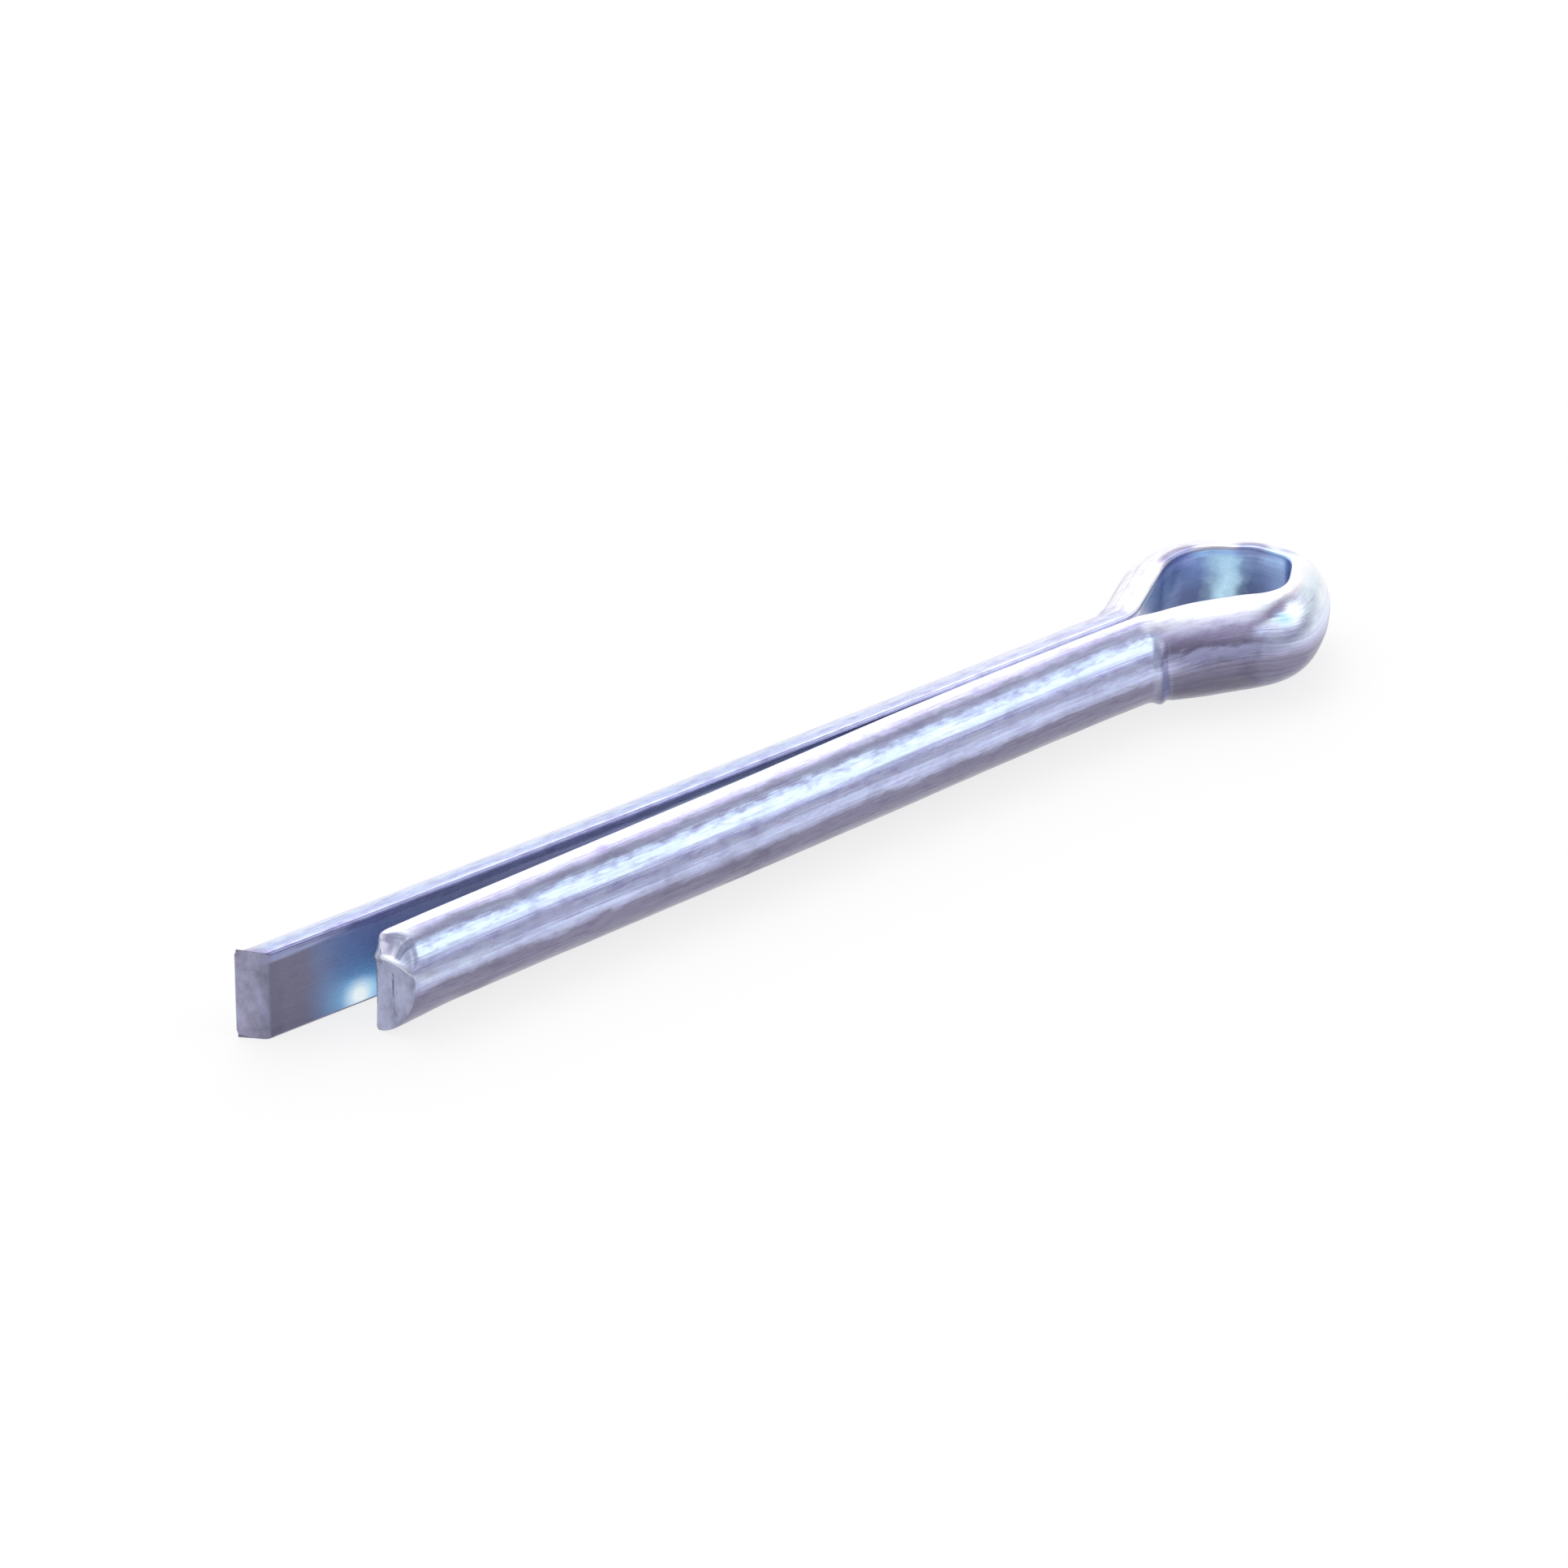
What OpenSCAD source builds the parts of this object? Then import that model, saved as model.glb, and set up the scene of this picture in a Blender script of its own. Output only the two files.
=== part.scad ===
// Split pin (cotter pin) bent from one length of half-round wire.
// It lies on its side on Z = 0, with the flats of its two legs facing each other across a thin
// seam. X runs along the legs towards the eye, and Y across them: the shorter leg is on -Y.
// The origin is the middle of the pin's box, on the surface that it lies on.

/* [Wire] */
// Diameter of the closed shank, which is both legs together
shank_d = 3.6; // [3.5:0.05:3.7]
// Gap between the two flats where the legs lie closest
seam = 0.05; // [0.04:0.01:0.1]
// Radius of the two edges beside the flat
edge_r = 0.14; // [0.08:0.01:0.2]

/* [Legs] */
// Length of the shorter leg, from the eye's neck
leg_l = 33.3; // [30.5:0.1:33.5]
// How much further the longer leg reaches
leg_extra = 4.4; // [3:0.1:4.8]
// Where the shorter leg springs away from the other, from the neck
short_spring_at = 3.4; // [3:0.1:5]
// Angle at which the shorter leg springs away
short_spring = 1.7; // [1:0.1:2.5]
// Where the shorter leg bows back, from the neck
short_bow_at = 17.9; // [12:0.1:22]
// Angle of the shorter leg's outer half
short_bow = 1.1; // [0.5:0.1:1.6]
// Where the longer leg springs away, from the neck
long_spring_at = 22; // [15:0.5:26]
// Angle at which the longer leg springs away
long_spring = 0.6; // [0.3:0.1:2]
// Radius of the soft bends where the legs spring and bow
spring_r = 100; // [80:5:120]

/* [Eye] */
// Angle at which the wire leaves the neck on the shorter leg's side
short_flare = 18.5; // [17.5:0.5:19.5]
// Angle at which the wire leaves the neck on the longer leg's side
long_flare = 33.5; // [32.5:0.5:34.5]
// Where the wire's slant at the eye's end would cross the pin's middle, from the neck
end_at = 7.45; // [7.4:0.05:7.6]
// Heading of that slant, from the pin's length
end_lean = 43.5; // [43:0.5:45]
// Where the wire's slant over the eye's crown would cross the pin's middle, from the neck
crown_at = 6.6; // [6.55:0.05:6.7]
// Heading of the slant over the crown, from the pin's length
crown_lean = 116; // [115:0.5:117]
// Radius of the wire's flat in the two bends at the neck
neck_r = 1.95; // [1.9:0.05:2.1]
// Radius of the wire's flat in the bend at the shorter leg's side of the eye
short_side_r = 1.9; // [1.5:0.05:2]
// Radius of the wire's flat in the bend at the eye's end
end_r = 0.65; // [0.4:0.05:0.7]
// Radius of the wire's flat in the bend at the longer leg's side of the eye
long_side_r = 2.4; // [2:0.05:2.45]

/* [Tool marks] */
// How far the bending die's mark stands off the outer side of each leg at the neck
ridge_h = 0.1; // [0.05:0.01:0.15]
// Width of the die's mark along the pin
ridge_w = 0.5; // [0.3:0.05:0.7]
// Where the die's mark lies, towards the eye from the neck
ridge_at = -0.1; // [-0.4:0.05:0]
// Slant of the shorter leg's sheared end, which is cut back on its outer side
shear_slant = 18; // [5:1:20]
// How far the facet above the shear's burr is cut back at its top
facet_depth = 0.25; // [0.05:0.05:0.4]
// Height of that facet
facet_h = 0.8; // [0.5:0.05:1.2]
// Angle of the longer leg's nipped end, on each side of its edge
nip_angle = 45; // [35:1:55]

/* [Hidden] */
$fn = 72;
zinc = [0.7, 0.74, 0.86];
wire_r = shank_d / 2;
wire_t = wire_r - seam / 2; // the half-round wire's thickness, from its flat
NIPPED = 0.45; // the nipped edge's place in the wire's thickness
SPARE = 1; // how far a cutting shape reaches past what it cuts
EDGE_FN = 24; // facets round each of the small edge arcs

// ---- The line that the wire's flat follows ----
// It is a chain of straight runs joined by bends, from the shorter leg's tip, round the eye, to
// the longer leg's tip. A run is [a point that its line passes through, its heading].
function heading(angle) = [cos(angle), sin(angle)];
function cross2(a, b) = a[0] * b[1] - a[1] * b[0];
function meet(run, next) =
    run[0] + heading(run[1]) * cross2(next[0] - run[0], heading(next[1]))
    / cross2(heading(run[1]), heading(next[1]));
short_flat = [0, -seam / 2];
long_flat = [0, seam / 2];
short_springs = short_flat - [short_spring_at, 0];
short_bows = short_springs - heading(short_spring) * (short_bow_at - short_spring_at);
long_springs = long_flat - [long_spring_at, 0];
runs = [
    [short_bows, short_bow],
    [short_springs, short_spring],
    [short_flat, 0],
    [short_flat, -short_flare],
    [[end_at, 0], end_lean],
    [[crown_at, 0], crown_lean],
    [long_flat, 180 + long_flare],
    [long_flat, 180],
    [long_springs, 180 - long_spring]
];
bend_radii = [spring_r, spring_r, neck_r, short_side_r, end_r, long_side_r, neck_r, spring_r];
SHORT_SIDE_BEND = 3;
END_BEND = 4;
LONG_SIDE_BEND = 5;
LAST_RUN = len(runs) - 1;

// bend i joins run i to run i + 1, and turns left where turn(i) is above 0
function turn(i) = runs[i + 1][1] - runs[i][1];
function setback(i) = bend_radii[i] * tan(abs(turn(i)) / 2);
function corner(i) = meet(runs[i], runs[i + 1]);
function bend_start(i) = corner(i) - setback(i) * heading(runs[i][1]);
function bend_end(i) = corner(i) + setback(i) * heading(runs[i + 1][1]);
function bend_centre(i) = bend_start(i) + sign(turn(i)) * bend_radii[i] * heading(runs[i][1] + 90);
function at_x(i, x) = runs[i][0] + heading(runs[i][1]) * (x - runs[i][0][0]) / cos(runs[i][1]);
function run_start(i) = i == 0 ? at_x(0, -leg_l - SPARE) : bend_end(i - 1);
function run_end(i) = i == LAST_RUN ? at_x(i, -leg_l - leg_extra - SPARE) : bend_start(i);

// ---- The pin's box, which sets the origin ----
low = [-leg_l - leg_extra, bend_centre(SHORT_SIDE_BEND)[1] - short_side_r - wire_t];
high = [bend_centre(END_BEND)[0] + end_r + wire_t,
        bend_centre(LONG_SIDE_BEND)[1] + long_side_r + wire_t];
middle = (low + high) / 2;

// ---- The half-round wire ----
// The section stands on its edge, with its flat on x = 0 and its round side towards +x. Each
// edge is an arc that touches both the flat and the round side.
edge_y = sqrt(pow(wire_r - edge_r, 2) - pow(edge_r + seam / 2, 2));
rest_h = edge_y + edge_r; // the height of the wire's middle, where it rests on an edge
module half_round() {
    blend = [edge_r + seam / 2, edge_y] * wire_r / (wire_r - edge_r) - [seam / 2, 0];
    translate([0, rest_h]) {
        difference() {
            translate([-seam / 2, 0]) circle(wire_r);
            translate([-wire_r - SPARE, -wire_r - SPARE])
                square([wire_r + SPARE, shank_d + 2 * SPARE]);
            for (side = [-1, 1])
                polygon([[-SPARE, side * edge_y], [edge_r, side * edge_y],
                         [blend[0], side * blend[1]], [blend[0], side * (wire_r + SPARE)],
                         [-SPARE, side * (wire_r + SPARE)]]);
        }
        for (side = [-1, 1]) translate([edge_r, side * edge_y]) circle(edge_r, $fn = EDGE_FN);
    }
}

// a straight run: the flat faces left of its heading, and the round side right
module run_wire(i) {
    start = run_start(i);
    end = run_end(i);
    translate(end) rotate([90, 0, runs[i][1] - 90])
        linear_extrude(norm(end - start)) half_round();
}

// a bend: a left turn has the round side outside, and a right turn has it inside
module bend_wire(i) {
    left = turn(i) > 0;
    translate(bend_centre(i)) rotate(left ? runs[i][1] - 90 : runs[i + 1][1] + 90)
        rotate_extrude(angle = abs(turn(i)))
            translate([bend_radii[i], 0]) mirror([left ? 0 : 1, 0]) half_round();
}

// ---- Tool marks ----
// the bending die's mark: a low ridge on each leg's outer side, which runs out at its edges
module neck_ridge(side) {
    foot = rest_h - ridge_h;
    slope_w = ridge_w / 3;
    intersection() {
        translate([ridge_at - ridge_w / 2, side * ridge_h, rest_h]) rotate([0, 90, 0]) {
            cylinder(h = slope_w, r1 = foot, r2 = rest_h);
            translate([0, 0, slope_w]) cylinder(h = slope_w, r = rest_h);
            translate([0, 0, 2 * slope_w]) cylinder(h = slope_w, r1 = rest_h, r2 = foot);
        }
        translate([ridge_at - ridge_w, side > 0 ? seam : -seam - shank_d, 0])
            cube([2 * ridge_w, shank_d, 2 * rest_h]);
    }
}

// the shorter leg's end: a face cut back on its outer side, and a facet above the shear's burr
module shear_cut() {
    reach = 2 * wire_r;
    blade = [reach, 2 * reach, shank_d + 2 * SPARE];
    translate(at_x(0, -leg_l)) intersection() {
        rotate(shear_slant) {
            translate([-reach, -reach, -SPARE]) cube(blade);
            translate([0, 0, shank_d - facet_h]) rotate([0, atan(facet_depth / facet_h), 0])
                translate([-reach, -reach, 0]) cube(blade);
        }
        rotate(short_bow) translate([-reach, seam - reach, -SPARE])
            cube([2 * reach, reach, shank_d + 3 * SPARE]);
    }
}

// the longer leg's end: nipped from both sides to an upright edge
module nip_cut() {
    edge = at_x(LAST_RUN, -leg_l - leg_extra) + [0, NIPPED * wire_t];
    reach = 2 * SPARE;
    flank = reach * tan(nip_angle);
    translate([edge[0], edge[1], -SPARE]) linear_extrude(shank_d + 2 * SPARE)
        polygon([[0, 0], [reach, -flank], [-reach, -flank], [-reach, flank], [reach, flank]]);
}

module cotter_pin() {
    color(zinc) translate([-middle[0], -middle[1], 0]) difference() {
        union() {
            for (i = [0 : LAST_RUN]) run_wire(i);
            for (i = [0 : LAST_RUN - 1]) bend_wire(i);
            for (side = [-1, 1]) neck_ridge(side);
        }
        shear_cut();
        nip_cut();
    }
}

cotter_pin();
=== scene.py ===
import math
from itertools import accumulate

import bpy
import numpy as np
from mathutils import Matrix, Vector, noise


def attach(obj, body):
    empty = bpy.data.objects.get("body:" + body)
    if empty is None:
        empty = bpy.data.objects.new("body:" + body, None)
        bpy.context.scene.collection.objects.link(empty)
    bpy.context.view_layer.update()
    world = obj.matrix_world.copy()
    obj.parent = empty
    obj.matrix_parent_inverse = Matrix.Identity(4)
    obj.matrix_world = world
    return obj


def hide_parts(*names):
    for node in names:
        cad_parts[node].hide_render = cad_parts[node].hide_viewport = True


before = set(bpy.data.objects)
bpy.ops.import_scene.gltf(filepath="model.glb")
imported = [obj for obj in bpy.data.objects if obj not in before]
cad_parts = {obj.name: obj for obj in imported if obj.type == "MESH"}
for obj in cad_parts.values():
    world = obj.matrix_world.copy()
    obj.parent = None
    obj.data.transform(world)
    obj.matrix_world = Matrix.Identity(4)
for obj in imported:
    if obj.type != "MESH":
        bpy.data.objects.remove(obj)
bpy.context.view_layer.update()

MM = 0.001  # part.scad's millimetres, in metres

# ---- The named sizes of part.scad, in millimetres and degrees ----
SHANK_D, SEAM, EDGE_R = 3.6, 0.05, 0.14
LEG_L, LEG_EXTRA = 33.3, 4.4
SHORT_SPRING_AT, SHORT_SPRING = 3.4, 1.7
SHORT_BOW_AT, SHORT_BOW = 17.9, 1.1
LONG_SPRING_AT, LONG_SPRING = 22.0, 0.6
SPRING_R = 100.0
SHORT_FLARE, LONG_FLARE = 18.5, 33.5
END_AT, END_LEAN = 7.45, 43.5
CROWN_AT, CROWN_LEAN = 6.6, 116.0
NECK_R, SHORT_SIDE_R, END_R, LONG_SIDE_R = 1.95, 1.9, 0.65, 2.4
RIDGE_H, RIDGE_W, RIDGE_AT = 0.1, 0.5, -0.1
NIPPED, NIP_ANGLE = 0.45, 45.0

WIRE_R = SHANK_D / 2
WIRE_T = WIRE_R - SEAM / 2
EDGE_Y = math.sqrt((WIRE_R - EDGE_R) ** 2 - (EDGE_R + SEAM / 2) ** 2)
REST_H = EDGE_Y + EDGE_R

# ---- The scene's own small forms, in millimetres and degrees ----
# Places along the wire are measured from the shorter leg's tip. "out" is outwards from the flat,
# and "up" is from the section's middle.

# the mesh: steps along the wire, which shrink towards the tips and the necks, and the section
STEP, BEND_STEP, TIGHT_R = 0.2, 0.09, 10.0
TIP_STEP, TIP_GROWTH = 0.03, 0.06
NECK_STEP, NECK_GROWTH = 0.04, 0.05
FLAT_N, EDGE_N, ROUND_N, FLAT_CROWDING = 14, 10, 60, 0.9

# the sheared end's face, and the burr that crosses it
FACE_SLANT = 18.0
BURR_UP, BURR_SAG, BURR_MIDDLE = 1.02, 0.25, 0.75
BURR_H, BURR_W, BURR_LOW = 0.08, 0.07, 0.03
# above the burr, the step back to a facet, and the facet's lean near the flat and beyond
FACET_STEP, FACET_STEP_H = 0.05, 0.1
FACET_LEAN, FACET_LEAN_MORE, FACET_FROM, FACET_OVER = 0.15, 0.6, 0.2, 0.5
# below it, a curved crease and the panel beyond, which stands proud
CREASE_OUT, CREASE_TOP, CREASE_CURVE, CREASE_SLOPE = 0.85, 0.37, 0.23, 0.04
CREASE_D, CREASE_W, PANEL_H, PANEL_EDGE = 0.06, 0.045, 0.03, 0.08
CREASE_SPAN = (-1.15, 0.3, 0.5, 0.2)
# the face is dished inside its rim, torn below the burr, and given a painted highlight on it
DISH, DISH_EDGE = 0.07, 0.09
HUB_OUT, HUB_UP = 0.62, -0.1  # its middle: a share of the wire's thickness, and up
TORN_EDGE, GLINT_LOW, GLINT_W = 0.08, 0.02, 0.055
HUB_AROUND = 20  # where the ends' middles lie on the wire's map, clear of the flat side

# the sheared end's lower corner, drawn out, and the roll-over of its rim
SPREAD = 0.5
DRAWN_L, DRAWN_OUT, DRAWN_POWER = 2.4, 0.55, 1.5
EDGE_ROLL, ROLL_DEPTH, ROLL_CORE = 0.34, 0.35, 0.3
ROLL_LEAST, ROLL_MORE, ROLL_FADE = 0.15, 0.85, 0.3
CUT_FADE = 3.0  # how far along the wire the face's shape fades out

# the nipped end: half its land, its inner bevel's steepness beside the outer one, and its burr
NIP_LAND, NIP_INNER, NIP_SPAN = 0.05, 0.87, 3.0
NIP_EDGE, NIP_INNER_SOFT, NIP_OUTER_SOFT, NIP_TIP = 0.04, 0.03, 0.05, 0.03
NIP_BURR, NIP_BURR_L, NIP_BURR_FROM, NIP_BURR_OVER = 0.08, 0.9, 1.1, 0.5

# the eye: its near side rolled and upset, its end drawn thinner, and a knuckle at its far corner
SIDE_SPAN, SIDE_ROLL, SIDE_UPSET, ROLL_PIVOT = (33.4, 2.6, 39.6, 2.4), 14.0, 0.09, 0.2
THIN_SPAN, THINNED = (38.6, 1.2, 44.6, 3.6), 0.11
KNUCKLE_SPAN, KNUCKLE_OUT, KNUCKLE_UP = (40.3, 0.7, 43.1, 1.2), 0.2, 0.05

# how much nearer the shorter leg's flat comes to the longer leg, at places along it
CLOSED_AT = [0, 2, 8, 15, 22, 26, 29.5, 31, 32.5]
CLOSED_BY = [0, 0.05, 0.09, 0.13, 0.19, 0.14, 0.04, 0.02, 0]
CLOSED_DEPTH = 0.9

# the neck's bulge: its slant out and up, its swell towards the eye, and the dip past its step
SLANT_OUT, SLANT_MIDDLE, SLANT_UP, NECK_SHIFT = 0.55, 1.38, 0.09, 0.02
NECK_REACH, SWELL_SPAN, SWELL_SHARE = 2.0, (-0.46, 0.3, 0.12, 0.26), 0.9
DIP, DIP_AT, DIP_W = 0.3, 0.16, 0.09
SWELL_FROM, SWELL_OVER = 38, 30  # degrees down from the top, where the bulge begins
RIPPLE, RIPPLE_RATE, RIPPLE_PHASE = 0.2, 4.3, 0.7
# where it has a painted highlight and its crease painted shade: the middle past the neck, half the
# width, and the edge
BRIGHT_BAND, BRIGHT_LINE, LINE_SHARE = (-0.30, 0.22, 0.14), (0.23, 0.08, 0.05), 0.6
DARK_LINE = (0.01, 0.17, 0.07)
# and how strong each is at shares of the way round the section
LIGHT_AT, LIGHT_BY = [0.49, 0.53, 0.61, 0.67, 0.76, 0.92], [0, 1, 0.95, 0.45, 0.25, 0.2]
DARK_AT, DARK_BY = [0.53, 0.59, 0.65, 0.72, 0.92], [0, 0.5, 0.85, 1, 0.9]

# dents and waves: their depth, how close they come along and round the wire, and an offset
DENTS = ((0.016, 0.22, 1.5, 0), (0.008, 0.75, 3.2, 7))
DENT_FADE, LEVEL_POWER, FLAT_DENTS = 1.2, 8, 0.25
ROUND_FROM = 0.5  # how far out from the flat the round side's forms reach their full height


# ---- The line that the wire's flat follows, as in part.scad ----
def heading(deg):
    return np.array([math.cos(math.radians(deg)), math.sin(math.radians(deg))])


def cross2(a, b):
    return a[0] * b[1] - a[1] * b[0]


short_flat = np.array([0, -SEAM / 2])
long_flat = -short_flat
short_springs = short_flat - [SHORT_SPRING_AT, 0]
short_bows = short_springs - heading(SHORT_SPRING) * (SHORT_BOW_AT - SHORT_SPRING_AT)
RUNS = [
    (short_bows, SHORT_BOW),
    (short_springs, SHORT_SPRING),
    (short_flat, 0.0),
    (short_flat, -SHORT_FLARE),
    (np.array([END_AT, 0.0]), END_LEAN),
    (np.array([CROWN_AT, 0.0]), CROWN_LEAN),
    (long_flat, 180 + LONG_FLARE),
    (long_flat, 180.0),
    (long_flat - [LONG_SPRING_AT, 0], 180 - LONG_SPRING),
]
BEND_R = [SPRING_R, SPRING_R, NECK_R, SHORT_SIDE_R, END_R, LONG_SIDE_R, NECK_R, SPRING_R]


def at_x(run, x):
    return run[0] + heading(run[1]) * (x - run[0][0]) / math.cos(math.radians(run[1]))


def line_pieces():
    """The flat's line as straight pieces and arcs. Each has its start and end, the headings there,
    and a radius, which has the sign of its turn and is 0 in a straight piece."""
    pieces = []
    point = at_x(RUNS[0], -LEG_L)
    for radius, a, b in zip(BEND_R, RUNS, RUNS[1:]):
        into, out_of = heading(a[1]), heading(b[1])
        corner = a[0] + into * cross2(b[0] - a[0], out_of) / cross2(into, out_of)
        turn = b[1] - a[1]
        setback = radius * math.tan(math.radians(abs(turn)) / 2)
        start, end = corner - setback * into, corner + setback * out_of
        pieces.append((point, start, a[1], a[1], 0.0))
        pieces.append((start, end, a[1], b[1], math.copysign(radius, turn)))
        point = end
    last = RUNS[-1]
    pieces.append((point, at_x(last, -LEG_L - LEG_EXTRA), last[1], last[1], 0.0))
    return pieces


def length_of(piece):
    start, end, first, last, radius = piece
    if radius:
        return abs(radius) * math.radians(abs(last - first))
    return float(np.linalg.norm(end - start))


def step_at(here, total, necks, radius):
    near_end = min(here, total - here)
    near_neck = min(abs(here - k) for k in necks)
    step = min(STEP, TIP_STEP + TIP_GROWTH * near_end, NECK_STEP + NECK_GROWTH * near_neck)
    if radius and abs(radius) < TIGHT_R:
        step = min(step, BEND_STEP)
    return step


def flat_line():
    """Stations along the wire: its flat's point, its heading, and the distance from the shorter
    leg's tip. Then the distances of the two necks."""
    pieces = line_pieces()
    lengths = [length_of(piece) for piece in pieces]
    starts = [0.0, *accumulate(lengths)]
    total = starts[-1]
    necks = []
    for (_, _, first, last, radius), start, length in zip(pieces, starts, lengths):
        if math.isclose(abs(radius), NECK_R) and last < first:
            necks.append(start + length / 2)
    points, headings, along = [], [], []
    for (p, q, first, last, radius), start, length in zip(pieces, starts, lengths):
        s = 0.0
        while s < length - 1e-6:
            t = s / length
            if radius:
                centre = p + radius * heading(first + 90)
                turned = first + (last - first) * t
                points.append(centre - radius * heading(turned + 90))
                headings.append(turned)
            else:
                points.append(p + (q - p) * t)
                headings.append(first)
            along.append(start + s)
            s += step_at(start + s, total, necks, radius)
    points.append(pieces[-1][1])
    headings.append(pieces[-1][3])
    along.append(total)
    return np.array(points), np.array(headings), np.array(along), necks


line, line_heading, line_s, necks = flat_line()
TOTAL = float(line_s[-1])

# The pin's box, which sets the origin
outwards = np.stack([-np.sin(np.radians(line_heading)), np.cos(np.radians(line_heading))], 1)
outer = line - WIRE_T * outwards
MIDDLE = np.array([(-LEG_L - LEG_EXTRA + outer[:, 0].max()) / 2,
                   (outer[:, 1].min() + outer[:, 1].max()) / 2])


# ---- The half-round section: (distance out from the flat, height above the middle) ----
def section():
    tip_angle = math.atan2(EDGE_Y, EDGE_R + SEAM / 2)
    pts = []
    for i in range(FLAT_N):  # the flat, from its lower end to its upper end
        t = -1 + 2 * i / FLAT_N
        pts.append((0.0, EDGE_Y * math.copysign(abs(t) ** FLAT_CROWDING, t)))
    for i in range(EDGE_N):  # the upper edge's arc
        ang = math.pi + (tip_angle - math.pi) * i / EDGE_N
        pts.append((EDGE_R + EDGE_R * math.cos(ang), EDGE_Y + EDGE_R * math.sin(ang)))
    for i in range(ROUND_N):  # the round side, from top to bottom
        ang = tip_angle - 2 * tip_angle * i / ROUND_N
        pts.append((-SEAM / 2 + WIRE_R * math.cos(ang), WIRE_R * math.sin(ang)))
    for i in range(EDGE_N):  # the lower edge's arc
        ang = -tip_angle + (tip_angle - math.pi) * i / EDGE_N
        pts.append((EDGE_R + EDGE_R * math.cos(ang), -EDGE_Y + EDGE_R * math.sin(ang)))
    return np.array(pts)


SECTION = section()
ROUND_COUNT = len(SECTION)
step_lengths = np.linalg.norm(np.roll(SECTION, -1, 0) - SECTION, axis=1)
AROUND = np.concatenate([[0.0], np.cumsum(step_lengths)])  # millimetres round the section
PERIMETER = AROUND[-1]


# ---- Curves ----
def smooth(t):
    t = np.clip(t, 0, 1)
    return t * t * (3 - 2 * t)


def soft_max(a, b, r):
    h = np.clip(0.5 + 0.5 * (a - b) / r, 0, 1)
    return b + (a - b) * h + r * h * (1 - h)


def soft_min(a, b, r):
    return -soft_max(-a, -b, r)


def hump(x, start, rise, end, fall):
    """0 up to start, 1 after the rise, and 0 again at end, where the fall is over."""
    return smooth((x - start) / rise) * smooth((end - x) / fall)


def bell(x, width):
    return np.exp(-(x / width) ** 2)


def plateau(x, middle, half, edge):
    return np.clip((half - np.abs(x - middle)) / edge, 0, 1)


# ---- The wire's surface ----
def burr_line(out):
    """Height of the burr that crosses the sheared end's face."""
    return BURR_UP - BURR_SAG * (out - BURR_MIDDLE) ** 2


def face_cut(out, up):
    """How far the shorter leg's end face lies back from its tip, at a point of the section."""
    slant = out * math.tan(math.radians(FACE_SLANT))
    above = up - burr_line(out)
    step = FACET_STEP * smooth(above / FACET_STEP_H)
    lean = FACET_LEAN + FACET_LEAN_MORE * smooth((out - FACET_FROM) / FACET_OVER)
    facet = lean * np.maximum(0, above)
    burr = bell(above + BURR_LOW, BURR_W)
    drop = np.maximum(0, CREASE_TOP - up)
    line_out = CREASE_OUT + CREASE_CURVE * drop ** 2 - CREASE_SLOPE * drop
    here = hump(up, *CREASE_SPAN)
    crease = bell(out - line_out, CREASE_W) * here
    panel = smooth((out - line_out) / PANEL_EDGE) * here
    return slant + step + facet - BURR_H * burr + CREASE_D * crease - PANEL_H * panel


def low_share(up):
    """0 at the section's top and 1 at its bottom."""
    return np.clip(0.5 - up / (2 * REST_H), 0, 1)


def place(point, head, out, up, ahead):
    """A point beside the flat's line: out from the flat, up from the middle, ahead on the line."""
    h = np.radians(head)
    x = point[..., 0] + ahead * np.cos(h) + out * np.sin(h) - MIDDLE[0]
    y = point[..., 1] + ahead * np.sin(h) - out * np.cos(h) - MIDDLE[1]
    return np.stack([x, y, up + REST_H], -1)


def nipped_end(out, up, left):
    """The longer leg's end, nipped to a wedge. Its third result is 1 on the inner bevel."""
    reach = math.tan(math.radians(NIP_ANGLE))
    low = NIPPED * WIRE_T - NIP_LAND - left * reach * NIP_INNER
    high = NIPPED * WIRE_T + NIP_LAND + left * reach
    near = left < NIP_SPAN
    bevel = np.where(near, smooth((low - out) / NIP_EDGE), 0)
    out = np.where(near, soft_max(out, low, NIP_INNER_SOFT), out)
    out = np.where(near, soft_min(out, high, NIP_OUTER_SOFT), out)
    burr = NIP_BURR * smooth((NIP_BURR_L - left) / NIP_BURR_L)
    up = up + burr * smooth((up - NIP_BURR_FROM) / NIP_BURR_OVER)
    return out, up, bevel


def sheared_end(out, up, s):
    """The shorter leg's end. Its third result is how far each point is moved along the wire."""
    near = smooth(1 - s / DRAWN_L)
    lower = low_share(up)
    drawn = near * lower ** DRAWN_POWER
    out = out + DRAWN_OUT * drawn * (1 - np.clip(out / WIRE_T, 0, 1))
    cut = face_cut(out, up)
    ahead = np.where(s < CUT_FADE, cut * (1 - s / CUT_FADE), 0) - SPREAD * near * lower ** 2
    # the shear's roll-over rounds the upper rim, and a trace of it the rest
    t = np.clip(1 - s / EDGE_ROLL, 0, 1)
    weight = ROLL_LEAST + ROLL_MORE * smooth((up - burr_line(out)) / ROLL_FADE)
    pull = EDGE_ROLL * (1 - np.sqrt(1 - t ** 2)) * weight * ROLL_DEPTH
    size = np.maximum(np.hypot(out, up), ROLL_CORE)
    return out * (1 - pull / size), up * (1 - pull / size), ahead


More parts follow.
